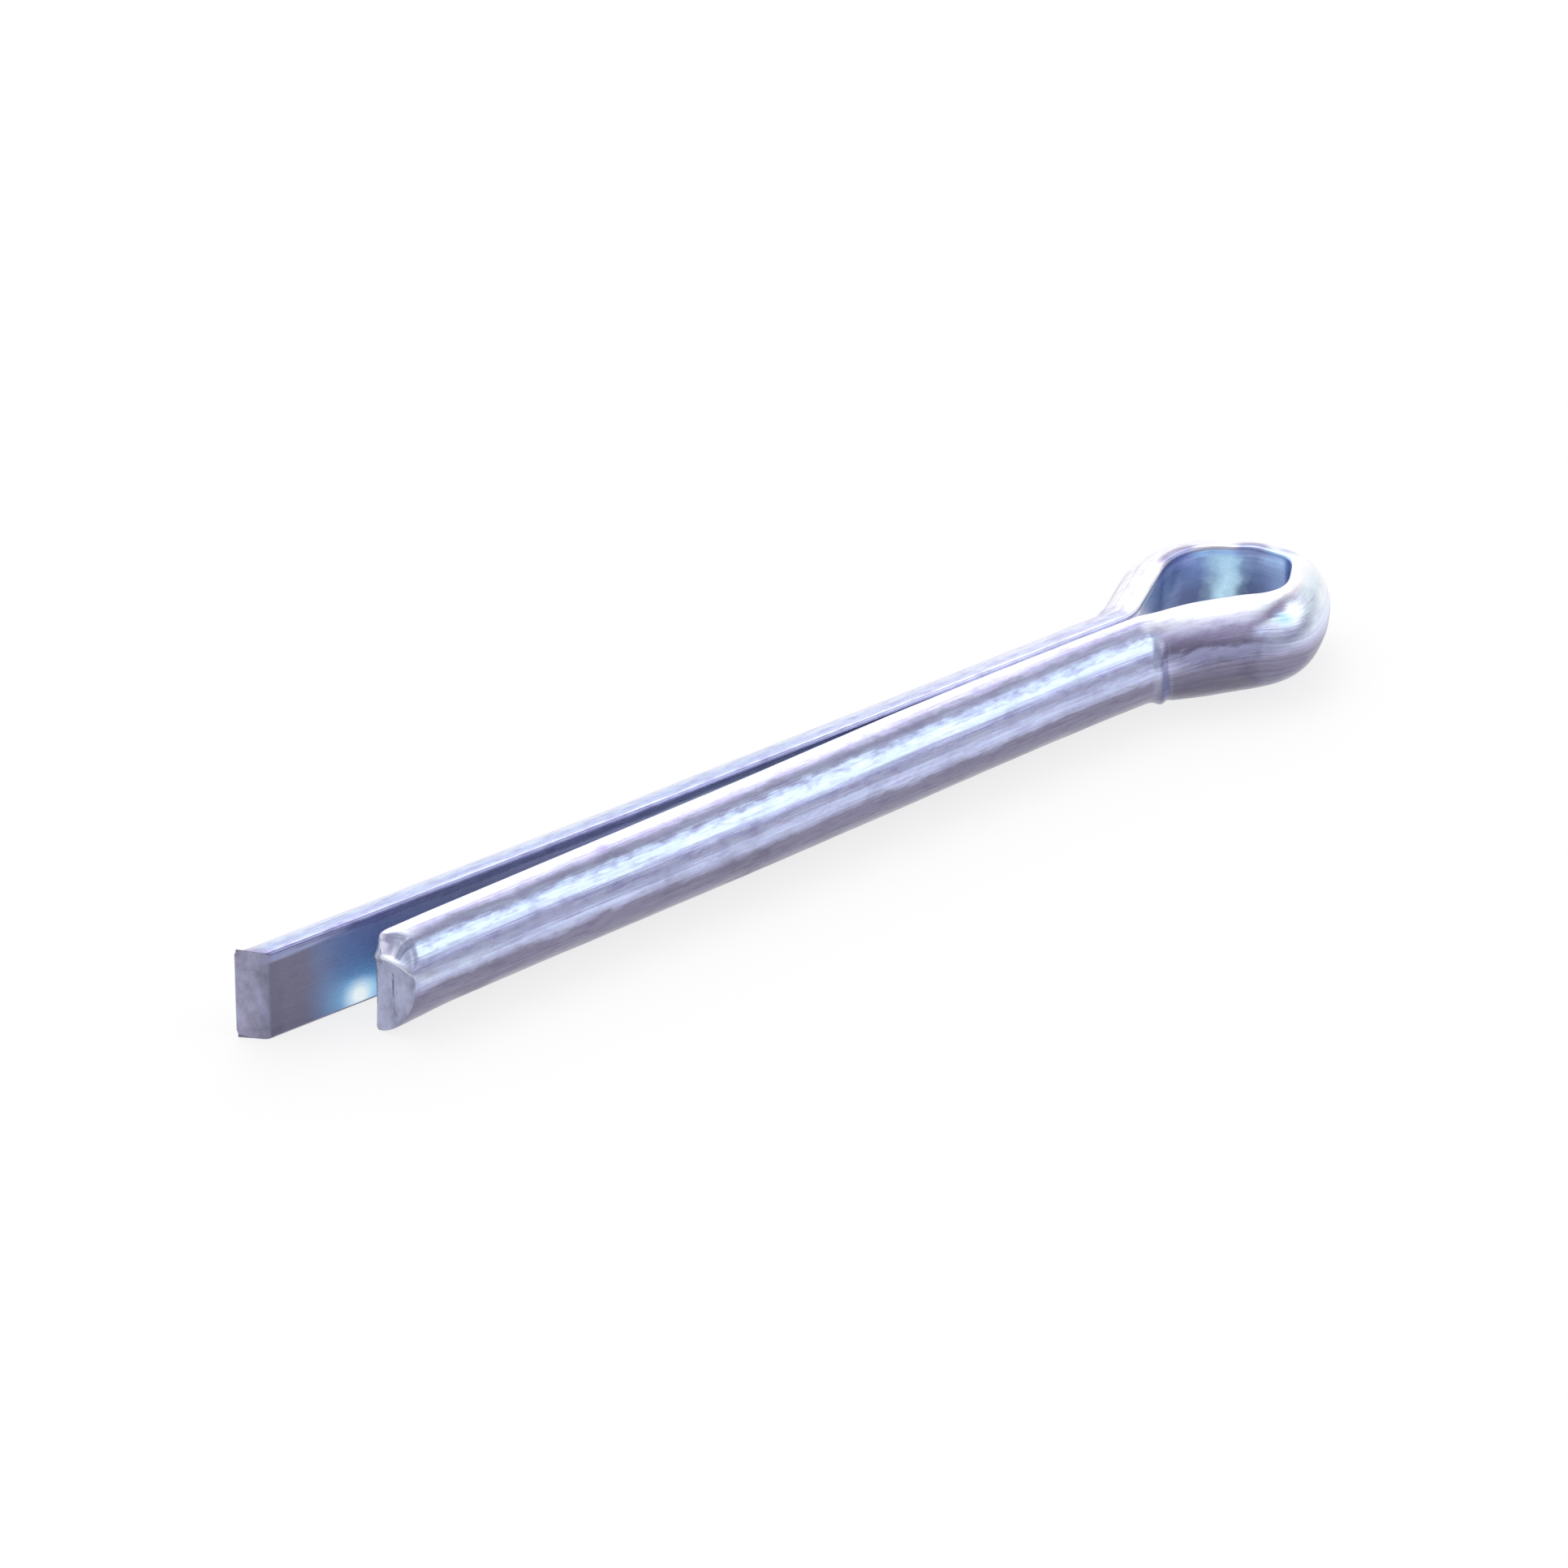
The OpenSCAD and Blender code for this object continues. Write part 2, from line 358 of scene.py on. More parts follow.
def bent_eye(out, up, s):
    """What bending has done to the eye: its near side is rolled towards the hole and upset
    thicker, and its end is drawn thinner."""
    side = hump(s, *SIDE_SPAN)
    roll = np.radians(SIDE_ROLL) * side
    thin = hump(s, *THIN_SPAN)
    upset = out * (1 + SIDE_UPSET * side - THINNED * thin) - ROLL_PIVOT
    return (ROLL_PIVOT + upset * np.cos(roll) - up * np.sin(roll),
            up * np.cos(roll) + (out - ROLL_PIVOT) * np.sin(roll))


def wire_surface():
    """The section at each station, with its ends and bends formed: out, up and ahead, and 1 on
    the nipped end's inner bevel."""
    s = line_s[:, None]
    out = np.repeat(SECTION[None, :, 0], len(line_s), 0)
    up = np.repeat(SECTION[None, :, 1], len(line_s), 0)
    out, up, bevel = nipped_end(out, up, TOTAL - s)
    out, up, ahead = sheared_end(out, up, s)
    out, up = bent_eye(out, up, s)
    # the shorter leg is a little thicker, so that its flat nearly closes on the longer leg
    closed = np.interp(s, CLOSED_AT, CLOSED_BY)
    out = out - closed * (1 - smooth(out / CLOSED_DEPTH))
    # the bend has also pushed up a knuckle at the far end of the eye
    knuckle = hump(s, *KNUCKLE_SPAN)
    return out + KNUCKLE_OUT * knuckle, up + KNUCKLE_UP * knuckle * np.maximum(up, 0), ahead, bevel


out, up, ahead, bevel = wire_surface()
grid = place(line[:, None, :], line_heading[:, None], out, up, ahead)

# outward directions of the section, to raise the bulge and the dents along
theta = np.arctan2(up, np.maximum(out, 0) + SEAM / 2)
line_angle = np.radians(line_heading)[:, None]
n_out, n_up = np.cos(theta), np.sin(theta)
normal = np.stack([n_out * np.sin(line_angle), -n_out * np.cos(line_angle), n_up], -1)
round_mask = smooth(SECTION[:, 0] / ROUND_FROM)[None, :]  # 0 on the flat and 1 on the round side


def neck_forms():
    """The bulge that the neck's bend raises on the outer side of both legs: it swells gently from
    the leg and ends in a step towards the eye. Then where it gets a painted highlight, and where
    the crease beside it gets painted shade, both low on the round side."""
    past = grid[..., 0] - (RIDGE_AT - MIDDLE[0]) - RIDGE_W / 2
    past = past + SLANT_OUT * (out - SLANT_MIDDLE) + SLANT_UP * up - NECK_SHIFT
    from_neck = np.min([np.abs(line_s - k) for k in necks], 0)
    at_neck = (from_neck < NECK_REACH).astype(float)[:, None]
    down = np.degrees(np.arccos(np.clip(n_up, -1, 1)))
    swell = hump(past, *SWELL_SPAN) - DIP * bell(past - DIP_AT, DIP_W)
    ripple = 1 + RIPPLE * np.sin(up * RIPPLE_RATE + RIPPLE_PHASE)
    swell = swell * smooth((down - SWELL_FROM) / SWELL_OVER) * ripple
    swell = SWELL_SHARE * RIDGE_H * swell * at_neck * round_mask
    round_share = (AROUND[:-1] / PERIMETER)[None, :]
    light_low = np.interp(round_share, LIGHT_AT, LIGHT_BY)
    dark_low = np.interp(round_share, DARK_AT, DARK_BY)
    light = np.maximum(plateau(past, *BRIGHT_BAND), LINE_SHARE * plateau(past, *BRIGHT_LINE))
    dark = plateau(past, *DARK_LINE)
    return swell, light * (light_low * at_neck), dark * (dark_low * at_neck)


def waves():
    """Small dents and waves left by drawing and tumbling."""
    wave = np.zeros_like(out)
    for i, s in enumerate(line_s):
        for j, v in enumerate(AROUND[:-1]):
            a = 2 * math.pi * v / PERIMETER
            for depth, close_along, close_round, offset in DENTS:
                spot = (s * close_along, math.cos(a) * close_round + offset, math.sin(a) * close_round)
                wave[i, j] += depth * noise.noise(Vector(spot))
    fade = smooth(np.minimum(line_s, TOTAL - line_s) / DENT_FADE)[:, None]
    level = 1 - np.abs(n_up) ** LEVEL_POWER  # none at the top and the bottom, where the pin rests
    return wave * fade * level * np.maximum(round_mask, FLAT_DENTS)


swell, neck_light, neck_dark = neck_forms()
grid = grid + normal * swell[..., None]
grid = grid + normal * waves()[..., None]
grid[..., 2] = np.maximum(grid[..., 2], 0.0)


# ---- The mesh ----
class Shell:
    """The pin's points and faces, with what its three UV maps hold at each face's corners."""

    def __init__(self):
        self.points, self.faces = [], []
        self.maps = {"wire": [], "cut": [], "neck": []}

    def add_points(self, points):
        first = len(self.points)
        self.points.extend(map(tuple, points.reshape(-1, 3) * MM))
        return first

    def add_face(self, corners, wire, cut, neck=None):
        self.faces.append(corners)
        self.maps["wire"].append([(0.1 * u, 0.1 * v) for u, v in wire])
        self.maps["cut"].append(cut)
        self.maps["neck"].append(neck or [(0, 0)] * len(corners))

    def mesh(self, name):
        mesh = bpy.data.meshes.new(name)
        mesh.from_pydata(self.points, [], self.faces)
        for layer_name, faces in self.maps.items():
            layer = mesh.uv_layers.new(name=layer_name)
            flat = [float(c) for face in faces for corner in face for c in corner]
            layer.data.foreach_set("uv", flat)
        mesh.polygons.foreach_set("use_smooth", [True] * len(mesh.polygons))
        mesh.update()
        mesh.validate()
        return mesh


def grid_id(i, j):
    return i * ROUND_COUNT + j % ROUND_COUNT


def wire_faces(shell):
    """The wire's sides. "cut" holds 1 on the nipped bevel, and "neck" where the bulge's painted
    highlight and its crease's painted shade lie.
    """
    shell.add_points(grid)
    for i in range(len(line_s) - 1):
        for j in range(ROUND_COUNT):
            k = (j + 1) % ROUND_COUNT
            corners = ((i, j), (i, k), (i + 1, k), (i + 1, j))
            places = [(line_s[i], AROUND[j]), (line_s[i], AROUND[j + 1]),
                      (line_s[i + 1], AROUND[j + 1]), (line_s[i + 1], AROUND[j])]
            shell.add_face([grid_id(*c) for c in corners], places, [(bevel[c], 0) for c in corners],
                           [(neck_light[c], neck_dark[c]) for c in corners])


def torn_and_burr(out, up):
    """Where the face is torn, below the plated roll-over, and where its burr gets a painted highlight."""
    above = up - burr_line(out)
    return list(zip(1 - smooth(above / TORN_EDGE), bell(above + GLINT_LOW, GLINT_W)))


def sheared_face(shell):
    """The sheared end's face, in rings from the wire's outline to its middle. They lie closer
    where its step and its crease are."""
    rings = [0.02, 0.05, 0.09, 0.13, 0.17] + [0.2 + 0.025 * k for k in range(17)]
    rings += [0.67, 0.74, 0.82, 0.9, 0.96]
    mid_out, mid_up = HUB_OUT * WIRE_T, HUB_UP
    outside = [grid_id(0, j) for j in range(ROUND_COUNT)]
    torn_outside = torn_and_burr(out[0], up[0])
    for ring in rings:
        ring_out = out[0] + (mid_out - out[0]) * ring
        ring_up = up[0] + (mid_up - up[0]) * ring
        back = face_cut(ring_out, ring_up) - SPREAD * low_share(ring_up) ** 2
        back = back - DISH * smooth(ring / DISH_EDGE)
        first = shell.add_points(place(line[0], line_heading[0], ring_out, ring_up, back))
        inside = list(range(first, first + ROUND_COUNT))
        torn = torn_and_burr(ring_out, ring_up)
        for j in range(ROUND_COUNT):
            k = (j + 1) % ROUND_COUNT
            shell.add_face((outside[k], outside[j], inside[j], inside[k]),
                           [(0, AROUND[j + 1]), (0, AROUND[j]), (ring, AROUND[j]),
                            (ring, AROUND[j + 1])],
                           (torn_outside[k], torn_outside[j], torn[j], torn[k]))
        outside, torn_outside = inside, torn
    back = face_cut(mid_out, mid_up) - SPREAD * 0.5 ** 2 - DISH
    hub = shell.add_points(place(line[0], line_heading[0], mid_out, mid_up, back))
    for j in range(ROUND_COUNT):
        shell.add_face((outside[(j + 1) % ROUND_COUNT], outside[j], hub), [(1, HUB_AROUND)] * 3,
                       [(1, 0)] * 3)


def nipped_face(shell):
    """The nipped end's narrow land."""
    hub = shell.add_points(place(line[-1], line_heading[-1], NIPPED * WIRE_T, 0.0, NIP_TIP))
    last = len(line_s) - 1
    for j in range(ROUND_COUNT):
        shell.add_face((grid_id(last, j), grid_id(last, j + 1), hub), [(TOTAL, HUB_AROUND)] * 3,
                       [(1, 0)] * 3)


shell = Shell()
wire_faces(shell)
sheared_face(shell)
nipped_face(shell)
pin = bpy.data.objects.new("pin_wire", shell.mesh("pin_wire"))
bpy.context.scene.collection.objects.link(pin)


# ---- Materials ----
class Nodes:
    """Short ways to add nodes to one node tree."""

    def __init__(self, tree):
        self.tree = tree
        tree.nodes.clear()

    def new(self, kind):
        return self.tree.nodes.new(kind)

    def set(self, node, name, value):
        """Link a socket to the node's input, or set the input to a value."""
        if isinstance(value, bpy.types.NodeSocket):
            self.tree.links.new(value, node.inputs[name])
        else:
            node.inputs[name].default_value = value

    def math(self, op, a, b=None):
        node = self.new("ShaderNodeMath")
        node.operation = op
        self.set(node, 0, a)
        if b is not None:
            self.set(node, 1, b)
        return node.outputs[0]

    def add(self, a, b):
        return self.math("ADD", a, b)

    def sub(self, a, b):
        return self.math("SUBTRACT", a, b)

    def mul(self, a, b):
        return self.math("MULTIPLY", a, b)

    def uv_map(self, name):
        node = self.new("ShaderNodeUVMap")
        node.uv_map = name
        return node.outputs[0]

    def split(self, vector):
        node = self.new("ShaderNodeSeparateXYZ")
        self.set(node, 0, vector)
        return node.outputs

    def noise(self, vector, scale, detail, rough, stretch=None):
        if stretch:
            mapping = self.new("ShaderNodeMapping")
            self.set(mapping, "Vector", vector)
            self.set(mapping, "Scale", stretch)
            vector = mapping.outputs[0]
        node = self.new("ShaderNodeTexNoise")
        self.set(node, "Vector", vector)
        self.set(node, "Scale", scale)
        self.set(node, "Detail", detail)
        self.set(node, "Roughness", rough)
        return node.outputs[0]

    def map_range(self, value, low, high, to_low=0.0, to_high=1.0):
        node = self.new("ShaderNodeMapRange")
        for i, v in enumerate((value, low, high, to_low, to_high)):
            self.set(node, i, v)
        return node.outputs[0]

    def ramp(self, value, stops):
        """A colour at each stop, which is (position, colour)."""
        node = self.new("ShaderNodeValToRGB")
        elements = node.color_ramp.elements
        while len(elements) > 1:
            elements.remove(elements[-1])
        elements[0].position = stops[0][0]
        elements[0].color = (*stops[0][1], 1)
        for position, colour in stops[1:]:
            elements.new(position).color = (*colour, 1)
        self.set(node, 0, value)
        return node.outputs[0]

    def level(self, value, *stops):
        """A number at each stop, which is (position, number)."""
        return self.ramp(value, [(position, (number,) * 3) for position, number in stops])

    def blend(self, kind, factor, a, b):
        node = self.new("ShaderNodeMix")
        node.data_type = "RGBA"
        node.blend_type = kind
        self.set(node, 0, factor)
        self.set(node, 6, a)
        self.set(node, 7, (*b, 1) if isinstance(b, tuple) else b)
        return node.outputs[2]

    def mix(self, factor, a, b):
        return self.blend("MIX", factor, a, b)

    def darken(self, factor, a, b):
        return self.blend("MULTIPLY", factor, a, b)

    def finish(self, kind, shader):
        self.set(self.new(kind), 0, shader)


# The flat side goes from 1 to 0 between these shares of the way round, and it is this much less
# streaked.
FLAT_SIDE, PLAINNESS = (0.333, 0.348, 1.0, 0.0), 0.75
# How ragged the edges of places are, and of the flat's colours, and how far the bands wander
RAGGED, FLATS_RAGGED, BAND_WANDER = 0.012, 0.02, 0.06
# The plating's roughness from its roughest to its smoothest, its metallic share, and how much
# less of that the flat has between the legs
ROUGHNESS, METALLIC, DULLED = (0.36, 0.2), 0.88, 0.62
BUMP_STRENGTH, BUMP_DISTANCE = 0.35, 0.00005


class WireNodes(Nodes):
    """Nodes for the wire's material, with the places and the noises that its parts share. The
    "wire" map runs along the wire and round it, in centimetres. Arguments are in millimetres."""

    def __init__(self, tree):
        super().__init__(tree)
        uv = self.uv_map("wire")
        coord = self.new("ShaderNodeTexCoord").outputs["Object"]
        self.streak = self.noise(uv, 3.0, 5, 0.55, (0.6, 34, 1))
        self.long_wave = self.noise(uv, 1.0, 4, 0.6, (5.0, 9, 1))
        self.mottle = self.noise(uv, 1.0, 3, 0.6, (14, 44, 1))
        self.blotch = self.noise(coord, 700, 4, 0.6)
        self.torn = self.noise(coord, 1400, 4, 0.65, (1, 1, 0.6))
        self.u, self.v, _ = self.split(uv)
        # shares of the way along the wire and round its section
        self.along = self.math("DIVIDE", self.u, TOTAL * 0.1)
        self.around = self.math("DIVIDE", self.v, PERIMETER * 0.1)
        self.flat_side = self.map_range(self.around, *FLAT_SIDE)
        # the flat and the eye's far end are less streaked
        plain = self.math("MAXIMUM", self.flat_side, self.span(39.2, 39.8, 43.0, 45.0))
        self.streaked = self.sub(1.0, self.mul(plain, PLAINNESS))

    def ragged(self, size):
        """The share along the wire, with a ragged edge of this size."""
        return self.add(self.along, self.mul(self.sub(self.blotch, 0.5), size))

    def between(self, start, end):
        """0 before a place along the wire and 1 after it."""
        return self.map_range(self.ragged(RAGGED), start / TOTAL, end / TOTAL)

    def span(self, start, full, fading, end):
        """1 along a stretch of the wire, and 0 before and after it."""
        return self.sub(self.between(start, full), self.between(fading, end))

    def patch(self, along, around, length, width):
        """1 at a place on the wire that fades to 0 round it."""
        du = self.math("DIVIDE", self.sub(self.u, along * 0.1), length * 0.1)
        dv = self.math("DIVIDE", self.sub(self.v, around * 0.1), width * 0.1)
        r = self.math("SQRT", self.add(self.mul(du, du), self.mul(dv, dv)))
        return self.math("POWER", self.math("MAXIMUM", self.sub(1.0, r), 0.0), 1.5)

    def near_tip(self, *stops):
        """A number at each distance from the longer leg's tip."""
        return self.level(self.along, *[((TOTAL - left) / TOTAL, number) for left, number in stops])


# Colours by the share of the way round: the legs' round side, with painted reflections of the
# lamps, light bands with dark lines between them, and painted shade on the underside
LEG_BANDS = [
    (0.33, (0.60, 0.64, 0.85)), (0.37, (0.82, 0.86, 0.97)), (0.400, (0.80, 0.83, 0.97)),
    (0.415, (0.61, 0.61, 0.88)), (0.432, (0.62, 0.63, 0.86)), (0.455, (0.34, 0.35, 0.48)),
    (0.480, (0.33, 0.37, 0.49)), (0.500, (0.52, 0.63, 0.84)), (0.522, (0.69, 0.85, 0.98)),
    (0.545, (0.72, 0.86, 1.00)), (0.560, (0.62, 0.68, 0.94)), (0.575, (0.68, 0.73, 0.98)),
    (0.590, (0.77, 0.81, 1.00)), (0.605, (0.68, 0.75, 1.00)), (0.640, (0.65, 0.73, 0.99)),
    (0.657, (0.50, 0.53, 0.72)), (0.680, (0.26, 0.25, 0.35)), (0.96, (0.20, 0.20, 0.29)),
    (1.0, (0.23, 0.25, 0.38))]
# the eye's near side, with the painted reflections lying lower: a bright upper flank, a dark band
# and a light one below it, and painted shade on the underside
SIDE_BANDS = [
    (0.34, (0.60, 0.64, 0.85)), (0.37, (0.90, 0.96, 1.00)), (0.48, (0.86, 0.90, 1.00)),
    (0.52, (0.78, 0.80, 1.00)), (0.555, (0.41, 0.38, 0.54)), (0.60, (0.33, 0.31, 0.42)),
    (0.625, (0.70, 0.72, 0.96)), (0.65, (0.60, 0.62, 0.85)), (0.67, (0.38, 0.385, 0.54)),
    (0.70, (0.22, 0.21, 0.295)), (0.74, (0.19, 0.18, 0.255)), (0.80, (0.16, 0.15, 0.21)),
    (1.0, (0.20, 0.22, 0.33))]
# and the eye's end, with a painted highlight on top and painted shade below
END_BANDS = [
    (0.34, (0.70, 0.78, 0.95)), (0.362, (1.0, 1.0, 1.0)), (0.43, (1.0, 1.0, 1.0)),
    (0.46, (0.84, 0.94, 1.00)), (0.55, (0.80, 0.92, 1.00)), (0.59, (0.82, 0.91, 1.00)),
    (0.635, (0.74, 0.81, 1.00)), (0.66, (0.52, 0.53, 0.71)), (0.69, (0.29, 0.28, 0.39)),
    (0.74, (0.24, 0.23, 0.33)), (1.0, (0.23, 0.25, 0.38))]
# Colours of the flat side by the share of the way along, from the shorter leg's tip through the
# eye to the longer leg's tip: painted light between the legs, deep blue painted shade inside the
# eye, and painted shade darkening towards the longer leg's tip
FLATS = [
    (0.00, (0.68, 0.71, 0.92)), (0.03, (0.92, 0.96, 1.00)), (0.38, (0.92, 0.96, 1.00)),
    (0.447, (0.80, 0.88, 1.00)), (0.457, (0.34, 0.46, 0.76)), (0.470, (0.30, 0.42, 0.70)),
    (0.484, (0.23, 0.31, 0.52)), (0.507, (0.30, 0.40, 0.68)), (0.54, (0.34, 0.44, 0.72)),
    (0.57, (0.66, 0.67, 0.80)), (0.60, (0.96, 1.00, 1.00)), (0.76, (0.94, 1.00, 1.00)),
    (0.83, (0.50, 0.54, 0.76)), (0.90, (0.27, 0.30, 0.49)), (0.925, (0.25, 0.30, 0.52)),
    (0.942, (0.21, 0.27, 0.50)), (0.955, (0.17, 0.26, 0.50)), (0.966, (0.17, 0.23, 0.42)),
    (0.976, (0.17, 0.165, 0.25))]
# The eye's wall has painted shade, darker below, by the share of the way round: all of it, and its end
WALL = [(0.17, (0.62, 0.62, 0.70)), (0.25, (0.86, 0.86, 0.90)), (0.29, (1, 1, 1))]
END_WALL = [(0.15, (0.60, 0.58, 0.62)), (0.26, (0.68, 0.74, 0.82)), (0.315, (1, 1, 1))]
# Painted shade at the rim's corners, by the share of the way round
SLATE = [(0.33, (0.24, 0.29, 0.50)), (0.36, (0.32, 0.38, 0.62)), (0.376, (0.42, 0.48, 0.76)),
         (0.39, (0.30, 0.32, 0.50)), (0.43, (0.46, 0.46, 0.66))]
VIOLET = [(0.366, (0.31, 0.40, 0.70)), (0.385, (0.33, 0.34, 0.54)), (0.40, (0.38, 0.38, 0.54)),
          (0.425, (0.47, 0.43, 0.56))]
# Painted shade over the longer leg's upper edge and its highlight, by the share of the way round
FAR_EDGE = [
    (0.334, (1, 1, 1)), (0.344, (0.56, 0.60, 0.70)), (0.362, (0.50, 0.52, 0.63)),
    (0.378, (0.56, 0.56, 0.67)), (0.395, (0.80, 0.82, 0.90)), (0.415, (0.80, 0.88, 0.93)),
    (0.445, (0.84, 0.92, 0.96)), (0.50, (1, 1, 1))]
# Tints by the mottle and the blotch, and the cut ends' tone by how torn they are
HUES = [(0.36, (0.82, 0.76, 0.85)), (0.5, (0.97, 0.95, 1.0)), (0.62, (1.0, 1.0, 1.0))]
FRECKLES = [(0.30, (0.74, 0.70, 0.76)), (0.44, (1, 1, 1)), (0.62, (1, 1, 1))]
CUT_TONES = [(0.32, (0.23, 0.235, 0.33)), (0.5, (0.34, 0.355, 0.49)), (0.68, (0.44, 0.465, 0.65))]


def round_side(n):
    """The round side's painted reflection bands and painted shade, which change at the eye's near side
    and at its end.
    """
    wander = n.mul(n.sub(n.long_wave, 0.5), BAND_WANDER)
    wander = n.add(wander, n.mul(n.sub(n.mottle, 0.5), BAND_WANDER))
    # the bands lie lower round the eye's far side and on the longer leg
    lower = n.mul(n.sub(n.level(n.along, (0.470, 0.5), (0.505, 0.65), (0.573, 0.725)), 0.5), -0.4)
    band = n.add(n.add(n.around, wander), lower)
    legs = n.ramp(band, LEG_BANDS)
    near_neck = n.level(n.along, (0.383, 0.515), (0.395, 0.515), (0.412, 0.5))
    side = n.ramp(n.add(band, n.sub(near_neck, 0.5)), SIDE_BANDS)
    colour = n.mix(n.between(33.4, 33.9), legs, side)
    colour = n.mix(n.between(37.0, 38.2), colour, eye_end(n, band))
    colour = n.mix(n.between(41.0, 43.0), colour, legs)
    # a painted highlight on top of the eye's far rim
    on_top = n.level(n.around, (0.345, 0), (0.366, 1), (0.54, 1), (0.61, 0))
    colour = n.mix(n.mul(on_top, n.span(39.5, 40.0, 49.0, 49.8)), colour, (0.97, 0.98, 1))
    return neck_marks(n, colour), wander


def eye_end(n, band):
    """The eye's end, where a painted dark reflection band climbs round the bend to the top edge."""
    shade_band_at = n.level(n.along, (0.4243, 0.565), (0.436, 0.512), (0.4415, 0.470), (0.447, 0.445),
                      (0.452, 0.456), (0.459, 0.46))
    shade_band = n.level(n.add(band, n.sub(0.57, shade_band_at)),
                   (0.505, 0), (0.54, 0.4), (0.56, 1), (0.583, 1), (0.608, 0))
    here = n.level(n.along, (0.4404, 1), (0.446, 0.5), (0.4495, 0.2), (0.4587, 0))
    return n.mix(n.mul(shade_band, here), n.ramp(band, END_BANDS), (0.34, 0.315, 0.435))


def neck_marks(n, colour):
    """A painted highlight on the neck's bulge, and painted shade in its crease."""
    light, dark, _ = n.split(n.uv_map("neck"))
    colour = n.mix(n.mul(light, 0.6), colour, (0.66, 0.73, 0.92))
    return n.mix(n.mul(dark, 0.8), colour, (0.16, 0.18, 0.36))


def flat_colour(n):
    """The flat side, with painted light and shade, and the eye's wall, with painted shade darker below."""
    colour = n.ramp(n.ragged(FLATS_RAGGED), FLATS)
    colour = n.darken(n.span(39.5, 41.0, 48.0, 49.5), colour, n.ramp(n.around, WALL))
    return n.darken(n.span(41.2, 42.0, 44.9, 45.6), colour, n.ramp(n.around, END_WALL))


def eye_edge(n, colour):
    """Round the far side of the eye the wall's blue runs over the upper edge, as painted shade that
    dims the highlight there.
    """
    tone = n.mix(n.between(42.6, 42.9), (0.36, 0.48, 0.82, 1), (0.45, 0.70, 1.0))
    for edge, here, blue in (
            (((0.334, 0), (0.342, 1), (0.360, 1), (0.374, 0)), (41.3, 41.6, 44.4, 44.8), tone),
            (((0.300, 0), (0.333, 1), (0.360, 1), (0.372, 0)), (44.3, 44.8, 46.6, 47.4), (0.58, 0.66, 1.0)),
            (((0.300, 0), (0.345, 1), (0.386, 1), (0.402, 0)), (40.5, 40.8, 41.7, 42.1), (0.46, 0.66, 1.0))):
        colour = n.mix(n.mul(n.level(n.around, *edge), n.span(*here)), colour, blue)
    return colour


def spots(n, colour):
    """Painted shade and painted highlights at places along and round the wire, with their length,
    width, strength and colour.
    """
    for along, around, length, width, strength, tone in (
            # painted shade at the rim's two corners, and at a place below the end's painted highlight
            (42.3, 0.390, 0.95, 0.7, 2.3, n.ramp(n.around, SLATE)),
            (41.2, 0.425, 0.5, 0.45, 1.6, (0.60, 0.70, 0.90)),
            (45.1, 0.395, 1.4, 0.46, 2.4, n.ramp(n.around, VIOLET)),
            (38.35, 0.585, 0.5, 0.5, 1.2, (0.45, 0.48, 0.64)),
            # the end's painted highlight is in two spots, with a cooler painted place between them
            (38.36, 0.530, 0.40, 0.42, 1.4, (0.44, 0.66, 0.88)),
            (39.12, 0.520, 0.55, 0.42, 1.5, (0.84, 0.97, 1.0)),
            (37.70, 0.578, 0.60, 0.38, 1.4, (0.69, 0.77, 1.0)),
            (40.0, 0.50, 0.9, 0.7, 1.4, (0.84, 0.95, 1.0)),
            # painted highlights on the neck's bend, the shorter leg's tip and its facet
            (33.45, 0.450, 0.65, 0.38, 1.8, (0.86, 0.90, 1.0)),
            (2.2, 0.618, 3.4, 0.40, 1.2, (0.72, 0.82, 1.0)),
            (0.6, 0.616, 0.8, 0.36, 1.2, (0.78, 0.88, 1.0)),
            (0.3, 0.434, 1.1, 0.36, 1.5, (0.80, 0.85, 1.0)),
            (0.1, 0.517, 0.45, 0.26, 1.5, (0.72, 0.79, 1.0))):
        there = n.mul(n.patch(along, around * PERIMETER, length, width), strength)
        colour = n.mix(n.math("MINIMUM", there, 1.0), colour, tone)
    return colour


def far_edge(n, colour, wander):
    """Painted shade over the longer leg's upper edge and its highlight."""
    edge = n.ramp(n.add(n.around, n.mul(wander, 0.4)), FAR_EDGE)
    return n.darken(n.between(55.0, 66.0), colour, edge)


def weathered(n, colour):
    """Streaks, mottling and freckles, and the top of the longer leg's tip made darker and pinker."""
    tone = n.map_range(n.streak, 0.3, 0.7, 0.80, 1.08)
    grey = n.new("ShaderNodeCombineXYZ")
    for k in range(3):
        n.set(grey, k, tone)
    colour = n.darken(n.streaked, colour, grey.outputs[0])
    colour = n.darken(n.mul(n.streaked, 0.9), colour, n.ramp(n.mottle, HUES))
    tip_top = n.mul(n.near_tip((0.9, 0), (0.55, 1)), n.sub(1.0, n.flat_side))
    colour = n.darken(tip_top, colour, (0.72, 0.55, 0.63))
    return n.darken(0.7, colour, n.ramp(n.blotch, FRECKLES))


def wall_glints(n, colour):
    """A painted reflection band on the eye's wall, and a painted highlight with a blue glow on the
    longer leg's flat, beside the shorter leg's tip."""
    band = n.level(n.ragged(FLATS_RAGGED), (0.487, 0), (0.4935, 1), (0.497, 1), (0.506, 0))
    colour = n.mix(n.mul(band, n.flat_side), colour, (0.56, 0.83, 1.0))
    # a painted highlight with a blue glow and a whiter core, beside the shorter leg's tip
    painted_glint = n.patch(TOTAL - 4.6, 0.4, 2.2, 2.4)
    colour = n.mix(painted_glint, colour, (0.26, 0.66, 1.0))
    core = n.math("MINIMUM", n.mul(n.patch(TOTAL - 4.36, 0.3, 0.8, 0.95), 1.5), 1.0)
    return n.mix(core, colour, (0.87, 0.965, 1.0)), painted_glint


